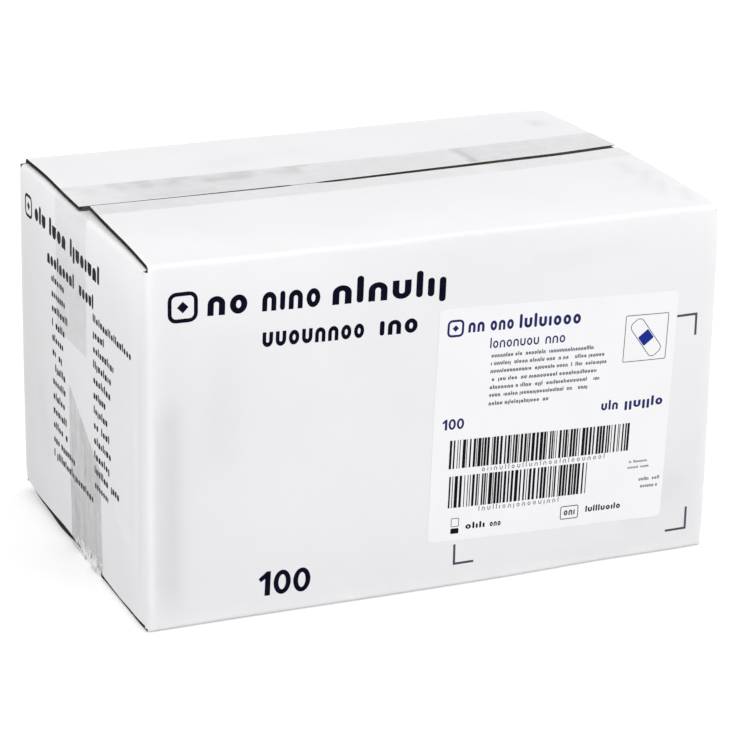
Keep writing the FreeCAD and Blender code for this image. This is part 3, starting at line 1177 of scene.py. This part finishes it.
class Sheet:
    """Collects ink on one surface. Shapes are drawn to the right along X and up along Z, with
    the paper at Y 0 and its viewer in front of it."""
    def __init__(self, origin, right, into, up, paper_out=0.0):
        columns = [Vector(right), Vector(into), Vector(up)]
        matrix = Matrix.Identity(4)
        for index, column in enumerate(columns):
            for row in range(3):
                matrix[row][index] = column[row]
        matrix.translation = (Vector(origin) - Vector(into) * paper_out) * MM
        self.matrix = matrix
        self.bm = bmesh.new()
        self.inks = []

    def ink_index(self, material):
        """The place of an ink in this sheet's list, which it joins at its first use."""
        if material not in self.inks:
            self.inks.append(material)
        return self.inks.index(material)

    def add_mesh(self, mesh, material, x=0.0, z=0.0, turn=0.0):
        """Adds a mesh whose place is x and z millimetres from the origin."""
        index = self.ink_index(material)
        for polygon in mesh.polygons:
            polygon.material_index = index
        spin = Matrix.Rotation(turn, 4, "Y")
        mesh.transform(self.matrix @ Matrix.Translation(Vector((x, 0, z)) * MM) @ spin)
        self.bm.from_mesh(mesh)
        bpy.data.meshes.remove(mesh)

    def add_outline(self, material, outer, inner=None, x=0.0, z=0.0, turn=0.0):
        """Adds a flat shape, or the ring between two outlines of as many points."""
        self.add_mesh(plate(outer, inner), material, x, z, turn)

    def piece(self, name):
        """Bends the ink with the carton and makes it a piece."""
        bmesh.ops.recalc_face_normals(self.bm, faces=self.bm.faces)
        cut_on_grid(self.bm)
        move_points(self.bm, settler())
        finished_piece(name, self.bm, self.inks)


def ink_depths():
    """How far ink stands out of the paper and reaches into it, as Y values in metres."""
    height = look("print").ink_height
    return -height, height * 0.5


def plate(outer, inner=None, closed=True):
    """A closed plate of ink over an outline in millimetres, or over the band between two
    outlines, which runs all the way round or, when it isn't closed, from end to end."""
    out, into = ink_depths()
    bm = bmesh.new()
    rings = []
    for outline in (outer, inner):
        if outline is not None:
            for y in (out, into):
                rings.append([bm.verts.new((x * MM, y, z * MM)) for x, z in outline])
    count = len(outer)
    if inner is None:
        front, back = rings
        bm.faces.new(front)
        bm.faces.new(list(reversed(back)))
        walls = [(front, back)]
    else:
        round_band = ((0, 1), (1, 3), (3, 2), (2, 0))
        walls = [(rings[first], rings[second]) for first, second in round_band]
    for first, second in walls:
        for index in range(count if closed else count - 1):
            after = (index + 1) % count
            bm.faces.new((first[index], first[after], second[after], second[index]))
    if not closed:
        for end in (0, count - 1):
            bm.faces.new([rings[side][end] for side in (0, 1, 3, 2)])
    bmesh.ops.recalc_face_normals(bm, faces=bm.faces)
    return mesh_of("plate", bm)


def rectangle(width, height):
    """Corners of a rectangle whose lower left corner is at the origin."""
    return [(0, 0), (width, 0), (width, height), (0, height)]


def rounded(width, height, radius, steps=4):
    """A rectangle with round corners about the origin."""
    points = []
    for quarter, (side, end) in enumerate(((1, 1), (-1, 1), (-1, -1), (1, -1))):
        middle_x = side * (width / 2 - radius)
        middle_z = end * (height / 2 - radius)
        for step in range(steps + 1):
            angle = math.pi / 2 * (quarter + step / steps)
            x = middle_x + radius * math.cos(angle)
            z = middle_z + radius * math.sin(angle)
            points.append((x, z))
    return points


def round_shapes(height, stroke, steps):
    """The shapes that stand in rows, each drawn from its left edge: a round dot that gets
    stretched into a stroke, a ring, an arch and a cup."""
    half = height * SHAPE_WIDTH / 2
    radius = stroke / 2
    dot = []
    for index in range(2 * steps + 2):
        lower = index > steps
        angle = math.pi * (index - lower) / steps
        shift = -0.02 * radius if lower else 0.02 * radius
        dot.append((radius + radius * math.cos(angle), radius + radius * math.sin(angle) + shift))

    def bend(turn, reach):
        across = half + (half - reach) * math.cos(turn)
        return across, (half - reach) * math.sin(turn)

    turns = [math.pi * index / (2 * steps) for index in range(4 * steps)]
    ring = []
    arch = []
    for reach in (0, stroke):
        share = (height / 2 - reach) / (half - reach)
        ring.append([(x, height / 2 + z * share) for x, z in (bend(turn, reach) for turn in turns)])
        top = [bend(turn, reach) for turn in turns[:2 * steps + 1]]
        top = [(x, height - half + z) for x, z in top]
        arch.append([(top[0][0], 0)] + top + [(top[-1][0], 0)])
    cup = [[(x, height - z) for x, z in outline] for outline in arch]
    return [plate(dot), plate(*ring), plate(*arch, closed=False), plate(*cup, closed=False)]


def marked_shapes(height, stroke, steps=5):
    """The shapes in one mesh. Each point knows its shape's number, and whether it is in the
    upper half of the dot."""
    bm = bmesh.new()
    kind = bm.verts.layers.float.new("kind")
    upper = bm.verts.layers.float.new("upper")
    for number, shape in enumerate(round_shapes(height, stroke, steps)):
        known = len(bm.verts)
        bm.from_mesh(shape)
        bpy.data.meshes.remove(shape)
        bm.verts.ensure_lookup_table()
        for vertex in bm.verts[known:]:
            vertex[kind] = number
            vertex[upper] = number == 0 and vertex.co.z > stroke / 2 * MM
    return mesh_of("shapes", bm)


def unit_bar():
    """A bar of ink one metre wide and high, that the bar code tree scales."""
    return plate([(x / MM, z / MM) for x, z in rectangle(1, 1)])


def add_hundred(sheet, material, x, z, height, turn=0.0):
    """The plain number 100."""
    one = [(0.27, 0), (0.49, 0), (0.49, 1), (0.33, 1), (0.0, 0.72), (0.10, 0.58), (0.27, 0.71)]
    one = [(across * height, up * height) for across, up in one]
    sheet.add_outline(material, one, None, x, z, turn)
    for left in (0.62, 1.42):
        rings = []
        for wide, tall in ((0.35, 0.5), (0.15, 0.31)):
            ring = []
            for step in range(28):
                angle = 2 * math.pi * step / 28
                ring.append((
                    (left + 0.35 + wide * math.cos(angle)) * height,
                    (0.5 + tall * math.sin(angle)) * height,
                ))
            rings.append(ring)
        sheet.add_outline(material, *rings, x, z, turn)


def add_rows(sheet, tree, material, rows, turn=0.0, weight=0.29, gap=0.22, breaks=0.0, steps=5):
    """Adds rows of shapes. weight and gap are shares of a row's height."""
    for x, z, length, height, seed in rows:
        values = {
            "Length": length * MM, "Height": height * MM, "Stroke": height * weight * MM,
            "Gap": height * gap * MM, "Breaks": breaks, "Seed": seed, "Ink": material,
        }
        shapes = marked_shapes(height, height * weight, steps)
        sheet.add_mesh(grown(tree, shapes, values), material, x, z, turn)


def add_sign(sheet, material, x, z, size):
    """A plain round-cornered ring with a small diamond in it."""
    wall = size * 0.13
    inner = size - 2 * wall
    sheet.add_outline(
        material, rounded(size, size, size * 0.28), rounded(inner, inner, size * 0.28 - wall), x, z,
    )
    half = size * 0.19
    sheet.add_outline(material, [(half, 0), (0, half), (-half, 0), (0, -half)], None, x, z)


def add_corner_mark(sheet, material, corner, arms):
    """Two thin bars that meet in a square corner."""
    stroke = CORNER_MARK_STROKE
    (x, z), (run_x, run_z) = corner, arms
    in_x = math.copysign(stroke, run_x)
    in_z = math.copysign(stroke, run_z)
    outline = [(0, 0), (run_x, 0), (run_x, in_z), (in_x, in_z), (in_x, run_z), (0, run_z)]
    sheet.add_outline(material, outline, None, x, z)


def front_sheet():
    """The long side in front, from its lower left corner."""
    return Sheet((CARTON_LOW.x, CARTON_LOW.y, 0), (1, 0, 0), (0, 1, 0), (0, 0, 1))


def end_sheet():
    """The left end, seen from outside. Its X runs from the carton's front, so it is minus the
    distance from the front."""
    return Sheet((CARTON_LOW.x, CARTON_LOW.y, 0), (0, -1, 0), (1, 0, 0), (0, 0, 1))


def label_sheet():
    """The label's face, from its lower left corner."""
    right = Vector((math.cos(LABEL_TILT), 0, -math.sin(LABEL_TILT)))
    up = Vector((math.sin(LABEL_TILT), 0, math.cos(LABEL_TILT)))
    middle = (LABEL_LOW + LABEL_HIGH) / 2
    middle.y = CARTON_LOW.y
    corner = middle - right * LABEL_WIDTH / 2 - up * LABEL_HEIGHT / 2
    paper_out = LABEL_THICK + look("label").seat / MM
    return Sheet(corner, right, (0, 1, 0), up, paper_out)


def add_tube_sign(sheet, line, fill):
    """A plain sign: a capped tube with a band, in a thin frame."""
    inner = TUBE_FRAME - 2 * TUBE_LINE
    frame_lines = rounded(TUBE_FRAME, TUBE_FRAME, 0.6), rounded(inner, inner, 0.3)
    sheet.add_outline(line, *frame_lines, *TUBE_MIDDLE)
    wide, long = TUBE_SIZE
    inner = (wide - 2 * TUBE_LINE, long - 2 * TUBE_LINE)
    tube_lines = rounded(wide, long, 2.2), rounded(*inner, 1.9)
    sheet.add_outline(line, *tube_lines, *TUBE_MIDDLE, TUBE_TURN)
    sheet.add_outline(fill, rounded(wide - 1.1, 4.6, 0.5), None, *TUBE_MIDDLE, TUBE_TURN)


# Pieces


def outer_fold(inset_a, inset_b):
    """Whether a point is on the outside of a fold, given its distances in from both faces."""
    near = inset_a < FOLD_RADIUS + 0.1 and inset_b < FOLD_RADIUS + 0.1
    return near and math.hypot(FOLD_RADIUS - inset_a, FOLD_RADIUS - inset_b) > FOLD_RADIUS - 0.5


def is_white(face):
    """Whether a face of the true carton is white paper, and not a cut edge or the inside."""
    centre = face.calc_center_median() / MM
    normal = face.normal
    insets = []
    for axis in range(3):
        side = CARTON_HIGH if normal[axis] > 0 else CARTON_LOW
        insets.append(abs(side[axis] - centre[axis]))
    for axis in range(3):
        if abs(normal[axis]) > 0.99:
            on_skin = insets[axis] < FACE_SLACK
            flap_below = axis == 2 and abs(insets[2] - BOARD - PLY_GAP) < FACE_SLACK
            return on_skin or flap_below
    if abs(normal.x) < 0.05:
        return outer_fold(insets[1], insets[2])
    if abs(normal.z) < 0.05:
        behind = centre.y > CARTON_HIGH.y - TAB_CORNER
        shift = BOARD if behind and centre.x > CARTON_HIGH.x - FOLD_RADIUS else 0.0
        return outer_fold(insets[0], insets[1] - shift) or outer_fold(insets[0], insets[1])
    return outer_fold(insets[0], insets[2] - BOARD - PLY_GAP)


def mark_painted_light(bm):
    """Stores the light and shade painted into the board at each point: lighter and darker parts of
    a panel, and painted shade in its creases.
    """
    layer = bm.verts.layers.float.new("tone")
    panels = carton_panels()
    for vertex in bm.verts:
        point = vertex.co / MM
        tone = 1.0
        for panel in panels:
            weight = 1 - smooth(panel.depth(point) / PAINTED_LIGHT_REACH)
            if weight > 0:
                place = panel.place(point)
                change = sum(dent_depth(spot, place) for spot in PAINTED_LIGHT_SPOTS.get(panel.name, []))
                tone += weight * (change + CREASE_PAINTED_SHADE * panel.folds(place))
        vertex[layer] = tone


def mark_fold_crush_and_highlight(bm):
    """Stores how near each point is to a fold, where the paper is crushed and gets a painted
    highlight.
    """
    layer = bm.verts.layers.float.new("rub")
    for vertex in bm.verts:
        point = vertex.co / MM
        insets = sorted(
            min(abs(point[axis] - CARTON_LOW[axis]), abs(CARTON_HIGH[axis] - point[axis]))
            for axis in range(3)
        )
        vertex[layer] = 1 - smooth(insets[1] / FOLD_CRUSH_AND_HIGHLIGHT_REACH)


class CARTON_OT_board(bpy.types.Operator):
    """Fold the board of the carton, with its dents, crushed folds with a painted highlight, and
    painted light and shade
    """
    bl_idname = "carton.board"
    bl_label = "Carton Board"

    def execute(self, context):
        bm = merged_copy("carton")
        cut_on_grid(bm, skin_only=True)
        bm.normal_update()
        for face in bm.faces:
            face.material_index = 0 if is_white(face) else 1
        mark_fold_crush_and_highlight(bm)
        mark_painted_light(bm)
        move_points(bm, settler())
        materials = [board_material(), shaded_kraft_material()]
        finished_piece("carton_board", bm, materials, "carton")
        return {"FINISHED"}


def tape_bubble(point, seed):
    """How far tape stands off the board at a point, in millimetres, for one unit of bubble."""
    spread = noise.noise(point / BUBBLE_SIZE + Vector((seed, 0, 0)))
    fine = noise.noise(point / WRINKLE_SIZE + Vector((0, seed, 0)))
    return max(0.0, spread + 0.15) * 0.9 + max(0.0, fine) * 0.35


def tape_haze(point, node):
    """How hazy the film is at a point, with 1 for the usual haze. It is greyer behind the seam
    and at the foot of the ends, has cloudy patches along its back edge, and is clearer in front
    of the seam, near the left end, and where the first strip lies under the second."""
    place = point - CARTON_LOW
    along = place.x / LENGTH
    away = from_seam(place)
    behind = smooth((away + 1) / 2)
    back = smooth((away - 13) / 5) * (1 - smooth((along - 0.5) / 0.12))
    patches = smooth((noise.noise(point / 7 + Vector((3, 3, 3))) + 0.05) / 0.35)
    rear = 1.1 - 0.3 * smooth((along - 0.2) / 0.2) + 0.9 * back * patches
    rear *= 0.5 + 0.5 * smooth((place.x - 8) / 34)
    top = rear * behind + (0.85 - 0.45 * along) * (1 - behind)
    if node == "top_tape_left":
        top *= 1 - 0.8 * smooth((place.x - LAP_START) / 2)
        end = 0.55 + 0.5 * smooth((135 - place.z) / 30)
    elif node == "top_tape_right":
        top *= smooth((place.x - LAP_START) / (12 - 9 * behind))
        top += 1.3 * behind * math.exp(-((place.x - LAP_START - 4) / 2.4) ** 2)
        end = 1.2
    else:
        end = 1.15 + 0.6 * smooth((72 - place.z) / 30)
    on_top = smooth((place.z - HEIGHT + 5) / 3)
    return top * on_top + end * (1 - on_top)


def milkiness_and_gloss(place):
    """Where the film stands off the board in wrinkles round the foot of the left end, milky and
    with a painted gloss.
    """
    foot = (1 - smooth((place.z - 4) / 4)) * (1 - smooth((place.x - 8) / 6))
    return foot * (1 - smooth((place.y - 84) / 5))


def make_tape(node, name, material, seed):
    """Lays a strip. Its underside sinks a little into the paper, and only its outer side is
    hazy and bubbles up."""
    tape = look("tape")
    settle = settler()
    bm = merged_copy(node)
    cut_on_grid(bm)
    bm.normal_update()
    layers = {layer: bm.loops.layers.float.new(layer) for layer in ("haze", "milky", "streaks")}
    streaks = 1.0 if node == "bottom_tape" else 0.25
    marks = {}
    for vertex in bm.verts:
        point = vertex.co / MM
        milky = milkiness_and_gloss(point - CARTON_LOW)
        marks[vertex] = {"haze": tape_haze(point, node), "milky": milky, "streaks": streaks}
    for face in bm.faces:
        facing = face.normal.dot(outward(face.calc_center_median()))
        if facing > 0.5:
            share = 1.0
        elif facing < -0.5:
            share = 0.0
        else:
            share = 0.1
        for loop in face.loops:
            for layer, value in marks[loop.vert].items():
                loop[layers[layer]] = value * share
    for vertex in bm.verts:
        point = vertex.co / MM
        lift = tape.seat + tape.bubble * tape_bubble(point, seed) * (point.z > 4)
        if abs(off_board(point)) < TAPE_THICK * 0.4:
            lift = -tape.seat
        wrinkle = abs(noise.noise(point / WRINKLE_SIZE)) * 1.8
        wrinkle *= milkiness_and_gloss(point - CARTON_LOW) * MM
        vertex.co = settle(vertex.co) + outward(vertex.co) * lift - Vector((wrinkle, 0, 0))
    finished_piece(name, bm, [material], node)


class CARTON_OT_tape(bpy.types.Operator):
    """Lay the strips of clear tape over the top and bottom seams"""
    bl_idname = "carton.tape"
    bl_label = "Clear Tape"

    def execute(self, context):
        material = tape_material()
        make_tape("top_tape_left", "tape_top_left", material, 5.0)
        make_tape("top_tape_right", "tape_top_right", material, 5.0)
        make_tape("bottom_tape", "tape_bottom", material, 8.0)
        return {"FINISHED"}


class CARTON_OT_label(bpy.types.Operator):
    """Stick the paper label on the long side"""
    bl_idname = "carton.label"
    bl_label = "Paper Label"

    def execute(self, context):
        settle = settler()
        seat = look("label").seat
        bm = merged_copy("label")
        cut_on_grid(bm)
        move_points(bm, lambda point: settle(point) + outward(point) * seat)
        finished_piece("label_paper", bm, [label_material()], "label")
        return {"FINISHED"}


class CARTON_OT_print(bpy.types.Operator):
    """Print the long side, the left end and the label, with rows of plain shapes"""
    bl_idname = "carton.print"
    bl_label = "Print"

    def execute(self, context):
        rows = row_tree()
        inks = {name: ink_material(name) for name in ("navy", "indigo", "blue", "grey", "black")}
        self.print_front(rows, inks)
        self.print_end(rows, inks)
        self.print_label(rows, inks)
        return {"FINISHED"}

    def print_front(self, tree, inks):
        """The sign, rows, number and corner marks of the long side."""
        sheet = front_sheet()
        navy = inks["navy"]
        add_sign(sheet, navy, 14.2, 126.6, 11.6)
        add_rows(sheet, tree, navy, FRONT_ROWS, FRONT_SLANT)
        add_hundred(sheet, navy, 43.4, 8.2, 9.9, FRONT_SLANT)
        for corner, arms in CORNER_MARKS:
            add_corner_mark(sheet, inks["grey"], corner, arms)
        sheet.piece("front_print")

    def print_end(self, tree, inks):
        """The sign and rows of the left end, with two columns of small rows below."""
        sheet = end_sheet()
        add_sign(sheet, inks["navy"], -142.0, 126.6, 9.6)
        rows = [(-from_front, *rest) for from_front, *rest in END_LARGE_ROWS]
        add_rows(sheet, tree, inks["navy"], rows, END_SLANT, weight=0.44)
        small = []
        for column, (from_front, top, lengths) in enumerate((END_LEFT_COLUMN, END_RIGHT_COLUMN)):
            for index, length in enumerate(lengths):
                foot = top - END_ROW_PITCH * index
                seed = 60 + 20 * column + index
                small.append((-from_front, foot, length, END_SMALL_HEIGHT, seed))
        add_rows(
            sheet, tree, inks["navy"], small, END_SLANT,
            weight=0.44, gap=0.26, breaks=0.03, steps=2,
        )
        sheet.piece("end_print")

    def print_label(self, tree, inks):
        """The signs, rows, number, frames and bar codes of the label."""
        sheet = label_sheet()
        indigo, grey, black = inks["indigo"], inks["grey"], inks["black"]
        add_sign(sheet, indigo, 6.9, 86.0, 6.9)
        add_rows(sheet, tree, indigo, LABEL_LARGE_ROWS)
        add_rows(sheet, tree, indigo, LABEL_THIN_ROWS, weight=0.21)
        small = [
            (LABEL_SMALL_START, foot, length, LABEL_SMALL_HEIGHT, 100 + index)
            for index, (foot, length) in enumerate(LABEL_SMALL_ROWS)
        ]
        add_rows(sheet, tree, grey, small, weight=0.32, breaks=0.12, steps=2)
        add_rows(sheet, tree, grey, LABEL_SIDE_ROWS, breaks=0.1, steps=2)
        add_rows(sheet, tree, black, LABEL_FOOT_ROWS, steps=3)
        add_rows(sheet, tree, grey, LABEL_WIDE_ROWS, weight=0.18, gap=0.7, steps=2)
        add_hundred(sheet, indigo, 3.6, 45.4, 4.3)
        add_tube_sign(sheet, grey, inks["blue"])
        sheet.add_outline(grey, rounded(8.0, 5.6, 0.8), rounded(7.3, 4.9, 0.5), 60.8, 6.2)
        add_rows(sheet, tree, grey, [(58.4, 5.0, 4.8, 2.2, 51)])
        sheet.add_outline(black, rounded(3.4, 2.2, 0.4), None, 11.2, 3.9)
        sheet.add_outline(grey, rounded(3.4, 3.6, 0.4), rounded(2.9, 3.1, 0.2), 11.2, 7.4)
        codes = bar_code_tree()
        for x, z, length, height, bars, seed in BAR_CODES:
            values = {
                "Length": length * MM, "Height": height * MM, "Bars": bars, "Seed": seed,
                "Ink": black,
            }
            sheet.add_mesh(grown(codes, unit_bar(), values), black, x, z)
        sheet.piece("label_print")


# Stage

# Lamps, by the setting that holds their power: where they hang and point, and their size, in
# metres
LAMPS = (
    ("overhead", (0.35, -0.25, 1.5), (0, 0, 0.1), (1.6, 1.6)),
    ("right", (0.9, -1.5, 0.7), (0, 0, 0.08), (1.2, 1.0)),
    ("left", (-0.55, -0.28, 0.42), (-0.1, -0.03, 0.08), (0.3, 0.3)),
)


def add_area_lamp(name, place, aim, size, power):
    """A rectangular lamp that points at a place."""
    lamp = bpy.data.lights.new(name, "AREA")
    lamp.shape = "RECTANGLE"
    lamp.size, lamp.size_y = size
    lamp.energy = power
    holder = add_object(name, lamp)
    holder.location = place
    holder.rotation_euler = (Vector(aim) - Vector(place)).to_track_quat("-Z", "Y").to_euler()


def make_world(strength):
    """Even white light of a strength, which the camera sees as pure white."""
    world = bpy.data.worlds.new("white_room")
    bpy.context.scene.world = world
    world.use_nodes = True
    maker = NodeMaker(world.node_tree)
    background = maker.nodes["Background"].inputs
    maker.connect(WHITE, background["Color"])
    mix = maker.nodes.new("ShaderNodeMix")
    maker.connect(maker.direct_view(), mix.inputs[0])
    maker.connect(strength, mix.inputs[2])
    maker.connect(1.0, mix.inputs[3])
    maker.connect(mix.outputs[0], background["Strength"])


def make_floor(colour, lift):
    """A wide matt floor, which the camera sees whiter than it lights the carton."""
    bm = bmesh.new()
    bmesh.ops.create_grid(bm, x_segments=1, y_segments=1, size=8.0)
    mesh = mesh_of("floor", bm)
    maker = MaterialMaker("floor")
    seen = maker.direct_view()
    base = maker.blend(seen, colour, WHITE)
    glow = maker.math("MULTIPLY", seen, lift)
    maker.set(Roughness=1.0, Specular_IOR_Level=0.0)
    material = maker.finish(Base_Color=base, Emission_Color=WHITE, Emission_Strength=glow)
    mesh.materials.append(material)
    add_object("floor", mesh)


def make_camera(stage):
    """The camera of the photo's view."""
    camera = bpy.data.cameras.new("camera")
    camera.lens = stage.camera_lens
    camera.sensor_width = 36.0
    holder = add_object("camera", camera)
    turn = Matrix.Rotation(-stage.camera_turn, 4, "Z")
    dip = Matrix.Rotation(math.pi / 2 - stage.camera_dip, 4, "X")
    roll = Matrix.Rotation(stage.camera_roll, 4, "Z")
    holder.matrix_world = Matrix.Translation(stage.camera_place) @ turn @ dip @ roll
    bpy.context.scene.camera = holder


class CARTON_OT_stage(bpy.types.Operator):
    """Set up the camera, the lamps and the floor"""
    bl_idname = "carton.stage"
    bl_label = "Stage"

    def execute(self, context):
        stage = look("stage")
        make_camera(stage)
        make_world(stage.sky)
        make_floor(tuple(stage.floor), stage.lift)
        for name, place, aim, size in LAMPS:
            add_area_lamp("lamp_" + name, place, aim, size, getattr(stage, name))
        context.scene.view_settings.view_transform = "Standard"
        return {"FINISHED"}


class CARTON_PT_panel(bpy.types.Panel):
    """Everything that dresses the carton"""
    bl_idname = "CARTON_PT_panel"
    bl_label = "Sealed Carton"
    bl_space_type = "VIEW_3D"
    bl_region_type = "UI"
    bl_category = "Carton"

    def draw(self, context):
        layout = self.layout
        for operator in OPERATORS:
            layout.operator(operator.bl_idname)
        for name, group in LOOKS.items():
            box = layout.box()
            box.label(text=name.capitalize())
            for prop in group.__annotations__:
                box.prop(look(name), prop)


LOOKS = {
    "board": CartonLook,
    "tape": TapeLook,
    "print": PrintLook,
    "label": LabelLook,
    "stage": StageLook,
}
OPERATORS = (CARTON_OT_board, CARTON_OT_tape, CARTON_OT_label, CARTON_OT_print, CARTON_OT_stage)


def register():
    """Registers the settings, the operators and the panel."""
    for group in LOOKS.values():
        bpy.utils.register_class(group)
    for operator in OPERATORS:
        bpy.utils.register_class(operator)
    bpy.utils.register_class(CARTON_PT_panel)
    for name, group in LOOKS.items():
        setattr(bpy.types.Scene, "carton_" + name, bpy.props.PointerProperty(type=group))


def unregister():
    """Takes back what register has done."""
    for name in LOOKS:
        delattr(bpy.types.Scene, "carton_" + name)
    bpy.utils.unregister_class(CARTON_PT_panel)
    for operator in reversed(OPERATORS):
        bpy.utils.unregister_class(operator)
    for group in reversed(list(LOOKS.values())):
        bpy.utils.unregister_class(group)


def main():
    """Builds every piece and the stage."""
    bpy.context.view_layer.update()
    register()
    bpy.ops.carton.board()
    bpy.ops.carton.tape()
    bpy.ops.carton.label()
    bpy.ops.carton.print()
    bpy.ops.carton.stage()


if __name__ == "__main__":
    main()
